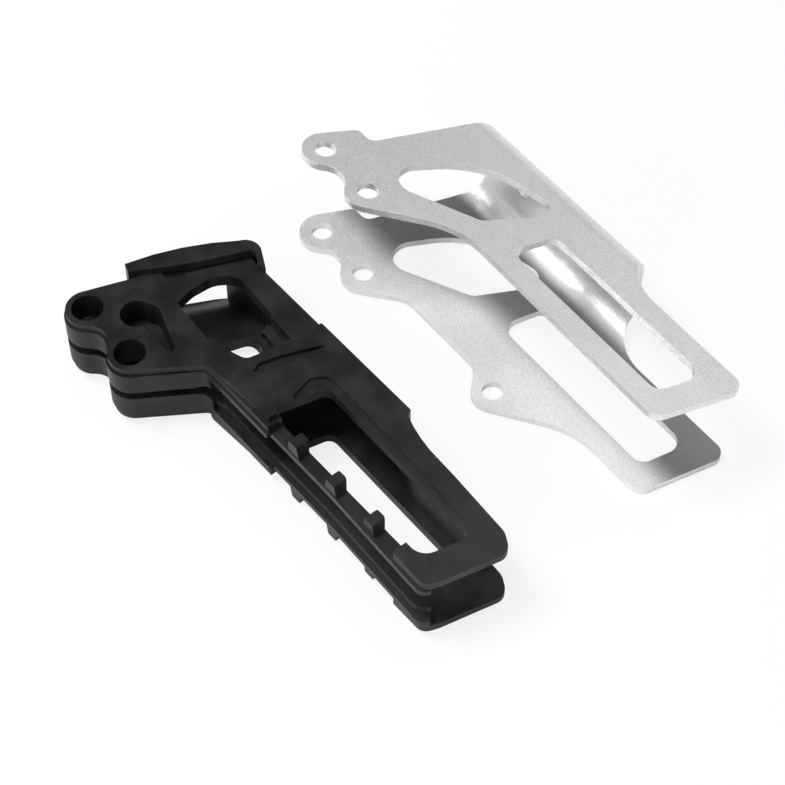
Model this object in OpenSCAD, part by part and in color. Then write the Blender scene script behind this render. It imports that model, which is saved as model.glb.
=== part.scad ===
// Motorcycle chain guide, shown taken apart: a moulded guide block and the folded sheet bracket that
// carries it. Millimetres, Z up. X runs along the bracket's fold, Y towards its web, and the origin is
// the centre of the bracket's lower middle bolt hole at its underside.

/* [Bolts] */
// Distance between the two bolts through the block
bolt_pitch = 27.4; // [25:0.1:30]
// Bore of the block for a bolt and its collar
guide_bore_d = 12.3; // [10:0.1:13]
// Bolt holes in the bracket's cheeks
bracket_hole_d = 8.5; // [6:0.1:10]
// Radius of the rounded ears around these holes
ear_r = 9.2; // [8.8:0.1:9.8]

/* [Guide block] */
// Thickness over the raised body
body_t = 35; // [33:0.5:38]
// Thickness over the two front lobes
front_t = 30; // [29:0.5:31]
// Thickness over the rim at the chain's entry
rim_t = 36; // [35:0.5:38]
// Thickness of the cheeks beside the chain
wall_t = 5.25; // [4.5:0.05:5.5]
// Thickness of the web at its front
web_t = 5; // [4:0.1:7]
// Distance from the bolt bores to the back of the web
guide_depth = 62.5; // [58:0.5:66]
// Reach of the rear end from the middle bore
guide_length = 155; // [145:1:165]
// Start of the rail along the long window
rail_start = 58.1; // [55:0.1:62]
// Depth of the rail below the body's face
rail_depth = 6; // [3:0.1:6.5]
// Opening between the lips that keep the chain in
lip_gap = 9.4; // [6:0.1:12]
// Width of the slit between the lobes
slit_h = 3.8; // [2:0.1:5]
// Width of each pad at its top
pad_w = 4.4; // [3:0.1:7]
// Distance from pad to pad
pad_pitch = 21.5; // [18:0.1:26]
// Depth of the grooves in the faces
groove_depth = 1.4; // [0.5:0.1:2]
// Depth of the pocket between the bores
pocket_depth = 12; // [4:0.5:12.5]

/* [Side bracket] */
// Thickness of the sheet
sheet_t = 3; // [2:0.1:3.5]
// Inside radius of both folds
fold_r = 8.5; // [6:0.1:9]
// How far each fold is opened beyond a right angle
fold_open = 3.5; // [0:0.1:4.5]
// Air between the block's faces and the cheeks, at the folds
side_clearance = 0.8; // [0.4:0.1:3]
// Air between the block's web and the bracket's
web_clearance = 4.7; // [3:0.1:6]
// Hole in the web
web_hole_d = 7; // [5:0.1:9]
// Reach of the rear bolt hole from the middle one
rear_hole_x = 77.2; // [76:0.1:79]

/* [As laid out] */
// Place of the block's middle bore beside the bracket
guide_x = -2.3; // [-20:0.1:20]
// Distance of that bore from the bracket's
guide_y = -106.8; // [-140:0.1:-100]
// Turn of the block from the bracket's fold
guide_turn = 1.8; // [-10:0.1:10]

/* [Hidden] */
eps = 0.02;
$fn = 72;
BLACK = [0.05, 0.05, 0.055];
SHEET = [0.74, 0.75, 0.76];
gap = body_t + 2 * side_clearance;
web_flat = gap - 2 * fold_r;
fold_y = guide_depth + web_clearance - fold_r;
rail_z = body_t / 2 - rail_depth;
rail_end = guide_length - 24.4;
front_channel = front_t - 2 * wall_t;
body_channel = body_t - 2 * wall_t;
near_y = 26.5;
opening_y = guide_depth - 16.7;
rear_hole = [rear_hole_x, 3.5];
lug_r = ear_r - 0.8;
web_start = -6;
web_end = 84.1;
rear_depth = fold_y - 4.2;
notch_r = 23;
notch_rise = 11.6;

// Plan helpers: direction, turned vector, arc of a circle
function unit(v) = v / norm(v);
function angle(v) = atan2(v.y, v.x);
function turn(v, a) = [v.x * cos(a) - v.y * sin(a), v.x * sin(a) + v.y * cos(a)];
function arc(c, r, a0, a1, step = 6) =
    let (n = max(2, ceil(abs(a1 - a0) / step))) [for (i = [0:n]) c + r * turn([1, 0], a0 + (a1 - a0) * i / n)];

// Corner b of the path a, b, c, rounded by a tangent arc
function short_way(a) = a > 180 ? a - 360 : a < -180 ? a + 360 : a;
function round_corner(a, b, c, r) =
    let (u = unit(a - b), w = unit(c - b), half = acos(u * w) / 2, m = b + unit(u + w) * r / sin(half),
         a0 = angle(b + u * r / tan(half) - m), a1 = angle(b + w * r / tan(half) - m))
    arc(m, r, a0, a0 + short_way(a1 - a0), 8);

// Outline through corners [x, y, radius]; a corner of radius 0 stays sharp
function flat(p) = [p.x, p.y];
function rounded(p) = let (n = len(p)) [for (i = [0:n - 1])
    each p[i].z == 0 ? [flat(p[i])]
                     : round_corner(flat(p[(i + n - 1) % n]), flat(p[i]), flat(p[(i + 1) % n]), p[i].z)];
function sharp(p) = [for (q = p) [q.x, q.y, 0]];

// Point where the line from p touches a circle; side is 1 or -1
function touch(p, c, r, side) =
    let (d = c - p, l = norm(d)) p + sqrt(l * l - r * r) * turn(unit(d), -side * asin(r / l));

// Path round both ears and the tangent hollow between them, from a line that comes down from
// the point before them to the line that leaves for the point after
function ears(before, after, dip, r = ear_r) =
    let (front = [-bolt_pitch, 0], hollow_r = (pow(bolt_pitch / 2, 2) + dip * dip - r * r) / (2 * (r - dip)),
         hollow = [-bolt_pitch / 2, -dip - hollow_r], lean = angle(-hollow),
         a0 = angle(touch(before, front, r, 1) - front), a1 = 360 + angle(touch(after, [0, 0], r, -1)))
    sharp(concat(arc(front, r, a0, 360 - lean), arc(hollow, hollow_r, 180 - lean, lean),
                 arc([0, 0], r, 180 + lean, a1)));

module outline(p) {
    polygon(rounded(p));
}

// Slot that tapers from one round end to another
module taper_slot(a, ra, b, rb) {
    way = angle(b - a);
    side = acos((ra - rb) / norm(b - a));
    polygon(concat(arc(a, ra, way + side, way + 360 - side, 12), arc(b, rb, way - side, way + side, 12)));
}

module slab(t) {
    translate([0, 0, -t / 2]) linear_extrude(t) children();
}

// The same cut or boss on both faces of the block
module both_faces() {
    children();
    mirror([0, 0, 1]) children();
}

module in_face(face_t, depth) {
    both_faces() translate([0, 0, face_t / 2 - depth]) linear_extrude(depth + 5) children();
}

// Arc from a to b that bulges to the left of the way between them
function bulge(a, b, r) =
    let (way = angle(b - a), half = asin(norm(b - a) / 2 / r), c = (a + b) / 2 + r * cos(half) * turn([0, -1], way))
    arc(c, r, way + 90 + half, way + 90 - half);

// Place between the near edge and the far edge of the front window, 0 to 1
function part_way(f) = near_y + f * (guide_depth - 9 - near_y);

// Front of the block: the lobes, the near edge to the body and the plate behind the rim
module front_plan(inset = 0) {
    near = [22.6, 17.6 + inset];
    rim_foot = [-29.8 + inset, 20];
    outline(concat(ears(rim_foot, near, 2.5 - inset, ear_r - inset),
        [[near.x, near.y, 4], [60, near.y, 0], [60, guide_depth, 0], [-10, guide_depth, 0]],
        sharp(bulge([-12, guide_depth - 1], rim_foot, -110))));
}

// Rear end and web side of the body, which steps in behind the web and runs on in a hollow curve
function rear_outline(near) = concat([[guide_length - 7.4, near, 4.5], [guide_length - 5, 24.6, 5],
    [guide_length + 1.2, guide_depth - 11.8, 5], [guide_length - 6, guide_depth - 7.8, 8]],
    sharp(bulge([112, guide_depth - 6.4], [89.3, guide_depth - 2.4], 66)), [[88, guide_depth, 0]]);

// Base plate of the body, whose near edge stands out as a bead below the rail
module base_plan() {
    outline(concat([[16, 22, 0], [22.6, 17.6, 4], [rail_start, 19.4, 40], [92, 19.4, 40]],
        rear_outline(17.4), [[30, guide_depth, 0]]));
}

// Raised body: the flat in front of the long window, the band along the web and the end block
module body_plan() {
    outline(concat([[14.3, near_y, 0], [22.6, 18, 4], [rail_start, 20.2, 0.8], [rail_start, 32, 0],
        [rail_end, 32, 0], [rail_end, 18.7, 0.8]],
        rear_outline(18.4), [[36, guide_depth, 0], [33, part_way(0.4), 0], [20, part_way(0.15), 0]]));
}

// Curved rim at the chain's entry; its tip stands free of the lobe
module rim_plan() {
    outline(concat(sharp(bulge([-30.2, 21], [-9.6, guide_depth - 0.5], -200)), [[-8.6, guide_depth + 2.9, 2.5],
        [-1, guide_depth - 1.5, 0], [1.8, guide_depth, 0], [-12.8, guide_depth + 7.5, 6.5]],
        sharp(bulge([-15.4, guide_depth + 0.6], [-33.9, 22.2], -112))));
}

// Flare of the channel behind the rim, so that the chain can't catch on entry
module mouth() {
    flare = [[-10, rim_t / 2 - 1.8], [-1, rim_t / 2 - 1.8], [4.5, front_channel / 2 + 3],
             [10.5, front_channel / 2 - 0.3]];
    intersection() {
        translate([-14.5, guide_depth + 2.5, 0]) rotate([0, 0, -24.4]) translate([0, 10, 0]) rotate([90, 0, 0])
            linear_extrude(80) polygon(concat(flare, [for (i = [len(flare) - 1:-1:0]) [flare[i].x, -flare[i].y]]));
        slab(rim_t) translate([-60, 23]) square([60, guide_depth - web_t - 23]);
    }
}

// Front window; the lower cheek's is shorter at the chain's entry
module window_1(upper) {
    front = upper ? [[-7.9, near_y + 1, 1.5], [-9.9, part_way(0.35), 12], [-9.4, part_way(0.7), 10], [-4, part_way(1), 9]]
                  : [[3.2, near_y + 0.5, 1.5], [3.2, part_way(0.5), 3], [6.4, part_way(0.87), 4]];
    outline(concat(front, [[20.5, part_way(upper ? 0.93 : 0.87), 4], [24.2, part_way(0.6), 2], [33, part_way(0.4), 3],
        [31.4, part_way(0.14), 4], [24, part_way(0.05), 4], [14, near_y - 0.3, 6]]));
}

// Long window; the lower cheek's ends sooner and is a little wider
module window_2(upper) {
    rear = guide_length - (upper ? 12 : 20);
    far = opening_y + (upper ? 0 : 1);
    outline([[rail_start - 2.5, 24.9, 2], [rail_start + 2.6, far, 4], [rear, far - 1.2, 3.5], [rear - 4.6, 24.9, 7]]);
}

// Ledge round the far side of the long window
module window_ledge() {
    outline([[rail_start - 2, 33, 1], [rail_start - 4.6, opening_y - 2.6, 1], [rail_start - 1, opening_y + 3.6, 6],
             [rail_start + 34, opening_y + 2.8, 30], [guide_length - 11, opening_y + 0.6, 4],
             [guide_length - 12, 40, 1], [rail_start + 10, 33, 0]]);
}

// Shallow blade-shaped groove across the body, and a dimple
module face_grooves() {
    foot = [37.6, 28.6];
    tip = [45.2, guide_depth - 6];
    outline(concat([[foot.x, foot.y, 0]], sharp(bulge([40.4, 31], tip, -170)),
        sharp(bulge([tip.x - 0.5, tip.y], [36, 33], -110))));
    translate([9.3, guide_depth - 2.5]) circle(1.5);
}

module side_slots() {
    taper_slot([21.5, part_way(0.84)], 1.6, [32, part_way(0.82)], 1.6);
    taper_slot([25, part_way(0.62)], 0.9, [31.6, part_way(0.575)], 0.9);
}

// Groove along the inner side of the rim
module rim_groove() {
    difference() {
        outline(concat(sharp(bulge([-20.2, 31.3], [-7, guide_depth - 1], 160)),
            sharp(bulge([-8.6, guide_depth + 0.4], [-25.3, 32.4], -160))));
        rim_plan();
    }
}

// Comma-shaped pocket between the bores
module pocket() {
    translate([-13.5, 12.7]) circle(6.3);
    taper_slot([-10.5, 15.9], 4.8, [7.6, 12.8], 1.9);
}

// Channel for the chain, open at both ends: narrower through the front, wider through the body
module channel() {
    inner = guide_depth - web_t;
    rear_inner = guide_depth - 13;
    slab(front_channel) outline([[-60, 23, 0], [20, 23, 4], [26, near_y, 4], [50, near_y, 0], [50, inner, 0], [-60, inner, 0]]);
    slab(body_channel) outline([[36, near_y, 0], [guide_length - 12, near_y, 4], [guide_length - 5, 20, 0],
        [180, 20, 0], [180, 90, 0], [guide_length - 12, 90, 0], [guide_length - 12, rear_inner, 2],
        [104, rear_inner + 0.5, 20], [84, inner, 20], [36, inner, 0]]);
}

// Slit between the lobes that widens into the opening between the lips
module near_opening() {
    translate([0, near_y + 3, 0]) rotate([90, 0, 0]) linear_extrude(60)
        polygon([[-60, -slit_h / 2], [20, -slit_h / 2], [28, -lip_gap / 2], [180, -lip_gap / 2],
                 [180, lip_gap / 2], [28, lip_gap / 2], [20, slit_h / 2], [-60, slit_h / 2]]);
}

// Air below the bead: the lips stand back from it and end short of the rear
module lip_relief() {
    slab(2 * rail_z - 5) outline([[25, 0, 0], [26, 19.4, 0], [32, 20.9, 6], [92, 21, 40], [guide_length - 13, 19.2, 4],
        [guide_length - 8.6, 22, 4], [guide_length - 8.6, 30, 0], [180, 30, 0], [180, 0, 0]]);
}

// Pads along the rail, with drafted sides and a round far end
module rail_pads() {
    for (x = [rail_start + 15:pad_pitch:rail_end - 6])
        intersection() {
            translate([x, 40, rail_z - 1]) rotate([90, 0, 0]) linear_extrude(40)
                polygon([[-pad_w / 2 - 1.2, 0], [pad_w / 2 + 1.6, 0], [pad_w / 2, rail_depth + 1], [-pad_w / 2, rail_depth + 1]]);
            translate([x, 0, 0]) linear_extrude(body_t / 2)
                outline([[-4, 19.7, 0], [4, 19.7, 0], [3.4, 25.7, 2.6], [-3.4, 25.7, 2.6]]);
        }
}

// The faces fall away slightly towards the rear end
module rear_taper() {
    start = guide_length - 34;
    stop = guide_length + 5;
    both_faces() translate([0, 2 * guide_depth, 0]) rotate([90, 0, 0]) linear_extrude(2 * guide_depth)
        polygon([[start, body_t / 2], [stop, body_t / 2 - 2.3], [stop, body_t], [start, body_t]]);
}

// Black moulded block the chain runs through, one piece
module guide_block() {
    color(BLACK) translate([guide_x, guide_y, rim_t / 2]) rotate([0, 0, guide_turn]) difference() {
        union() {
            difference() {
                union() {
                    slab(front_t) front_plan(0.8);
                    slab(front_t - 7) front_plan();
                    slab(2 * rail_z) base_plan();
                    slab(body_t) body_plan();
                    slab(rim_t) rim_plan();
                }
                channel();
                mouth();
                near_opening();
                lip_relief();
                linear_extrude(body_t) {
                    window_1(true);
                    window_2(true);
                }
                mirror([0, 0, 1]) linear_extrude(body_t) {
                    window_1(false);
                    window_2(false);
                }
                in_face(body_t, groove_depth) face_grooves();
                in_face(body_t, 1) window_ledge();
                in_face(body_t, 5) side_slots();
                in_face(front_t, groove_depth) rim_groove();
                in_face(front_t, pocket_depth) pocket();
            }
            both_faces() rail_pads();
        }
        rear_taper();
        for (x = [0, -bolt_pitch]) translate([x, 0, -front_t]) cylinder(h = 2 * front_t, d = guide_bore_d);
    }
}

// Plan of a cheek and the fold beyond it, without its holes: the ears, the near edge, the rear end,
// the notch down from it to the web and the slanted front edge
module cheek_blank(lower) {
    start = [-29.3, 17.6];
    bend = lower ? [21, 5.7] : [33.8, 17.5];
    brow = [110.8, 16.5];
    low_edge = [63.5, bend.y];
    lug_in = angle(touch(low_edge, rear_hole, lug_r, 1) - rear_hole);
    lug_out = angle(touch(brow, rear_hole, lug_r, -1) - rear_hole);
    lug_side = concat([[bend.x, bend.y, 10], [low_edge.x, low_edge.y, 8]],
        sharp(arc(rear_hole, lug_r, lug_in, lug_out)), [[brow.x, brow.y, 37]]);
    notch_sweep = acos(1 - notch_rise / notch_r);
    notch = [web_end + notch_r * sin(notch_sweep), rear_depth + notch_r];
    outline(concat(ears(start, bend, 2.9), lower ? lug_side : [[bend.x, bend.y, 34]],
        [[146.7, 16.4, 6], [154.75, rear_depth, 5]], sharp(arc(notch, notch_r, 270, 270 - notch_sweep)),
        [[web_end, 90, 0], [web_start, 90, 0], [web_start, fold_y + 6.8, 0], [-21.3, start.y, 4], [start.x, start.y, 2.5]]));
}

module cheek_openings(lower) {
    for (x = [0, -bolt_pitch]) translate([x, 0]) circle(d = bracket_hole_d);
    if (lower)
        translate(rear_hole) circle(d = bracket_hole_d);
    outline([[-12.7, 2.6, 8], [36.2, 26.8, 6], [52.4, fold_y - 0.7, 6], [10.8, fold_y - 10.7, 40]]);
    outline([[54.3, 25.8, 6], [137.6, 25.4, 5], [141.5, rear_depth - 9.4, 6], [58.4, rear_depth - 9.1, 5]]);
}

// Section of one fold and half the web, about the fold's centre
module fold_section() {
    web_end = [[fold_r + sheet_t, web_flat / 2 + eps], [fold_r, web_flat / 2 + eps]];
    polygon(concat(arc([0, 0], fold_r + sheet_t, -90, -fold_open, 3), [for (p = web_end) turn(p, -fold_open)],
                   arc([0, 0], fold_r, -fold_open, -90, 3)));
}

// One cheek with its fold and its half of the web
module half_bracket(lower) {
    out_r = fold_r + sheet_t;
    translate([0, 0, -web_flat / 2]) rotate([fold_open, 0, 0]) difference() {
        union() {
            translate([0, -fold_y, -out_r]) linear_extrude(sheet_t) difference() {
                cheek_blank(lower);
                translate([-100, fold_y]) square([400, 100]);
            }
            intersection() {
                translate([-40, 0, 0]) rotate([90, 0, 90]) linear_extrude(180) fold_section();
                translate([0, -fold_y, -40]) linear_extrude(80) cheek_blank(lower);
            }
        }
        translate([0, -fold_y, -out_r - 1]) linear_extrude(sheet_t + 2) cheek_openings(lower);
    }
}

// Folded sheet bracket: two cheeks joined by a web; only the lower cheek has the rear lug
module side_bracket() {
    color(SHEET) translate([0, fold_y, sheet_t + fold_r]) rotate([-fold_open, 0, 0])
        translate([0, 0, web_flat / 2]) difference() {
            union() {
                half_bracket(true);
                mirror([0, 0, 1]) half_bracket(false);
            }
            translate([16.7, 0, 0]) rotate([-90, 0, 0]) cylinder(h = 3 * fold_r, d = web_hole_d);
        }
}

guide_block();
side_bracket();
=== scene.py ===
"""A motorcycle chain guide in two pieces: the black moulded guide block and its folded sheet bracket."""
import math

import bpy
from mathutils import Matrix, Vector

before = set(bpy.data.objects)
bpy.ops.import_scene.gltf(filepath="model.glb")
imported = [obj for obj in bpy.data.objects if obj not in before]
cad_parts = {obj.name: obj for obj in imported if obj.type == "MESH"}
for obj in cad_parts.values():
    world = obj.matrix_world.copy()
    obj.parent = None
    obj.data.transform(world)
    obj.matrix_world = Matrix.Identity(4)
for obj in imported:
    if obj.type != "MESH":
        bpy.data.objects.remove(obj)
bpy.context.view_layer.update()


# ---- Guide block ----
# The part the chain runs through: one piece of black filled nylon, moulded, held by two bolts.
# Its faces are matte with the fine grain of the mould; the paler colour towards the rear end is painted
# light.
# Its edges are slightly rounded.
MM = 0.001


class S:
    """A shader socket that does sums with numbers and other sockets."""

    tree = None

    def __init__(self, out):
        self.out = out

    @staticmethod
    def feed(socket, value):
        if isinstance(value, S):
            S.tree.links.new(value.out, socket)
        else:
            socket.default_value = value

    @staticmethod
    def node(kind, inputs=(), output=0, **settings):
        n = S.tree.nodes.new(kind)
        for key, value in settings.items():
            setattr(n, key, value)
        for key, value in dict(inputs).items():
            S.feed(n.inputs[key], value)
        return S(n.outputs[output])

    @staticmethod
    def mix(share, one, other):
        """Colour between two colours by a share from 0 to 1."""
        factor, colour_a, colour_b, colour_out = 0, 6, 7, 2
        return S.node("ShaderNodeMix", {factor: share, colour_a: one, colour_b: other}, output=colour_out,
                      data_type="RGBA")

    def math(self, op, other):
        return S.node("ShaderNodeMath", {0: self, 1: other}, operation=op)

    def __add__(self, o): return self.math("ADD", o)
    def __radd__(self, o): return self.math("ADD", o)
    def __sub__(self, o): return self.math("SUBTRACT", o)
    def __rsub__(self, o): return (self * -1.0) + o
    def __mul__(self, o): return self.math("MULTIPLY", o)
    def __rmul__(self, o): return self.math("MULTIPLY", o)

    def part(self, axis):
        return S.node("ShaderNodeSeparateXYZ", {"Vector": self}, output="XYZ".index(axis))

    def step(self, low, high, to_low=0.0, to_high=1.0):
        """Smooth rise from one value to another between two places."""
        return S.node("ShaderNodeMapRange", {"Value": self, "From Min": low, "From Max": high,
                                             "To Min": to_low, "To Max": to_high},
                      interpolation_type="SMOOTHSTEP")


def material(name, **constants):
    m = bpy.data.materials.new(name)
    m.use_nodes = True
    S.tree = m.node_tree
    shader = m.node_tree.nodes["Principled BSDF"]
    for key, value in constants.items():
        shader.inputs[key.replace("_", " ")].default_value = value
    return m, shader


def place(output="Object"):
    return S.node("ShaderNodeTexCoord", output=output)


def noise(scale, detail=3.0, rough=0.5):
    return S.node("ShaderNodeTexNoise", {"Vector": place(), "Scale": scale, "Detail": detail,
                                         "Roughness": rough})


def bump(height, strength):
    return S.node("ShaderNodeBump", {"Height": height, "Strength": strength, "Distance": 0.2 * MM},
                  output="Normal")


def grey(level):
    return (level, level, level, 1)


def finish(obj, mat, edge):
    """Gives a CAD node its material, welds its mesh, joins its flat facets and rounds its edges."""
    obj.data.materials.clear()
    obj.data.materials.append(mat)
    weld = obj.modifiers.new("weld", "WELD")
    weld.merge_threshold = 0.01 * MM
    flat = obj.modifiers.new("flat", "DECIMATE")
    flat.decimate_type = "DISSOLVE"
    flat.angle_limit = math.radians(0.5)
    bevel = obj.modifiers.new("bevel", "BEVEL")
    bevel.width = edge
    bevel.segments = 3
    bevel.limit_method = "ANGLE"
    bevel.angle_limit = math.radians(30)
    even = obj.modifiers.new("even", "WEIGHTED_NORMAL")
    even.weight = 100
    even.keep_sharp = True
    for p in obj.data.polygons:
        p.use_smooth = True


black_plastic, shader = material("black_plastic", Specular_IOR_Level=0.25)
mottle = noise(45.0, 5.0, 0.6).step(0.4, 0.65)
# Painted light: the colour grows paler towards the rear end, where more light falls on the block.
rear_painted_light = place().part("X").step(20 * MM, 150 * MM)
S.feed(shader.inputs["Base Color"], S.mix(mottle * 0.6 + rear_painted_light * 0.6, (0.0070, 0.0070, 0.0071, 1),
                                          (0.0210, 0.0208, 0.0204, 1)))
S.feed(shader.inputs["Roughness"], noise(90.0).step(0.3, 0.7, 0.30, 0.46))
S.feed(shader.inputs["Normal"], bump(noise(1500.0, 2.0) + noise(120.0) * 2.0, 0.16))
finish(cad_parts["guide_block"], black_plastic, edge=0.6 * MM)


# ---- Side bracket ----
# Folded aluminium sheet that holds the block to the swingarm, with a fine satin grain and folds of
# a large radius. The lower cheek's upper face carries painted shade: its colour turns dark grey away
# from its near edge, standing in for the shade that the upper cheek casts on it.
aluminium_sheet, shader = material("aluminium_sheet", Metallic=1.0)
grain = noise(1900.0, 2.0)
patina = noise(28.0)
satin = S.mix(grain.step(0.4, 0.6) * 0.75 + patina.step(0.35, 0.65) * 0.25, grey(0.82), (1.0, 1.0, 0.995, 1))
along, across, up = (place().part(axis) for axis in "XYZ")
from_near_edge = across - along.step(-10 * MM, 45 * MM, 8 * MM, 22 * MM)
on_the_sheet = 1.0 - up.step(3.2 * MM, 5 * MM)
before_the_fold = 1.0 - across.step(54 * MM, 60 * MM)
faces_up = S.node("ShaderNodeNewGeometry", output="Normal").part("Z").step(0.5, 0.9)
# Painted shade: dark grey on the lower cheek's upper face away from its near edge, for the upper cheek's
# shade.
painted_shade = from_near_edge.step(-2 * MM, 14 * MM) * before_the_fold * on_the_sheet * faces_up
S.feed(shader.inputs["Base Color"], S.mix(painted_shade * 0.85, satin, grey(0.14)))
S.feed(shader.inputs["Roughness"], noise(700.0).step(0.3, 0.7, 0.34, 0.44))
S.feed(shader.inputs["Normal"], bump(grain, 0.8))
finish(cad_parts["side_bracket"], aluminium_sheet, edge=0.35 * MM)


# ---- Table ----
# A plain white table under the two pieces, which keeps their soft shadows. The camera sees it
# mostly as plain white, and its lit top throws a slightly warm light back at the pieces.
white_table, shader = material("white_table", Roughness=0.6, Specular_IOR_Level=0.1)
seen = S.node("ShaderNodeLightPath", output="Is Camera Ray")
S.feed(shader.inputs["Base Color"], S.mix(seen, (0.75, 0.74, 0.72, 1), grey(0.85)))
glow = S.node("ShaderNodeEmission", {"Color": grey(1), "Strength": 1.0})
blend = S.node("ShaderNodeMixShader", {0: seen * 0.8, 1: S(shader.outputs[0]), 2: glow})
S.feed(S.tree.nodes["Material Output"].inputs["Surface"], blend)
bpy.ops.mesh.primitive_plane_add(size=6, location=(0, 0, -0.3 * MM))
table = bpy.context.object
table.name = "floor"
table.data.materials.append(white_table)


# ---- Studio ----
# Three soft lamps: a high one at the camera's left, one far behind at its right and a low one in
# front at its left. The camera sees white behind the pieces. The satin metal mirrors a light
# horizon, brighter at the right, and a grey ceiling that is darker at the back.
MIDDLE = Vector((52.6, -25.9, 0)) * MM
EYE = Vector((461.8, -342.2, 693.9)) * MM
scene = bpy.context.scene


def lamp(name, from_middle, size, power):
    data = bpy.data.lights.new(name, "AREA")
    data.energy, data.size = power, size
    obj = bpy.data.objects.new(name, data)
    obj.location = MIDDLE + Vector(from_middle)
    obj.rotation_euler = (-Vector(from_middle)).to_track_quat("-Z", "Y").to_euler()
    scene.collection.objects.link(obj)


lamp("softbox", (-0.32, -0.4, 1.2), size=0.5, power=12)
lamp("back", (-0.25, 1.2, 1.8), size=1.0, power=4.5)
lamp("near_low", (0.35, -1.0, 0.35), size=0.6, power=5)

studio = bpy.data.worlds.new("studio")
studio.use_nodes = True
scene.world = studio
S.tree = studio.node_tree
toward = place("Generated")
right_x, right_y = 0.61, 0.79
right = toward.part("X") * right_x + toward.part("Y") * right_y
beyond = toward.part("Y") * right_x - toward.part("X") * right_y
above = toward.part("Z").step(0.05, 0.4)
ceiling = beyond.step(-0.3, 0.3, 0.5, 0.28)
horizon = right.step(-0.4, 0.4, 0.7, 1.1)
sky = above * ceiling + (1.0 - above) * horizon
behind = S.node("ShaderNodeLightPath", output="Is Camera Ray")
backdrop = studio.node_tree.nodes["Background"]
backdrop.inputs["Color"].default_value = grey(1)
S.feed(backdrop.inputs["Strength"], behind * 0.993 + (1.0 - behind) * sky)

cam_data = bpy.data.cameras.new("camera")
cam_data.sensor_width = 36
cam_data.lens = 103.2
cam_data.clip_start, cam_data.clip_end = 0.01, 20
camera = bpy.data.objects.new("camera", cam_data)
camera.location = EYE
camera.rotation_euler = (MIDDLE - EYE).to_track_quat("-Z", "Y").to_euler()
scene.collection.objects.link(camera)
scene.camera = camera
scene.view_settings.view_transform = "Standard"
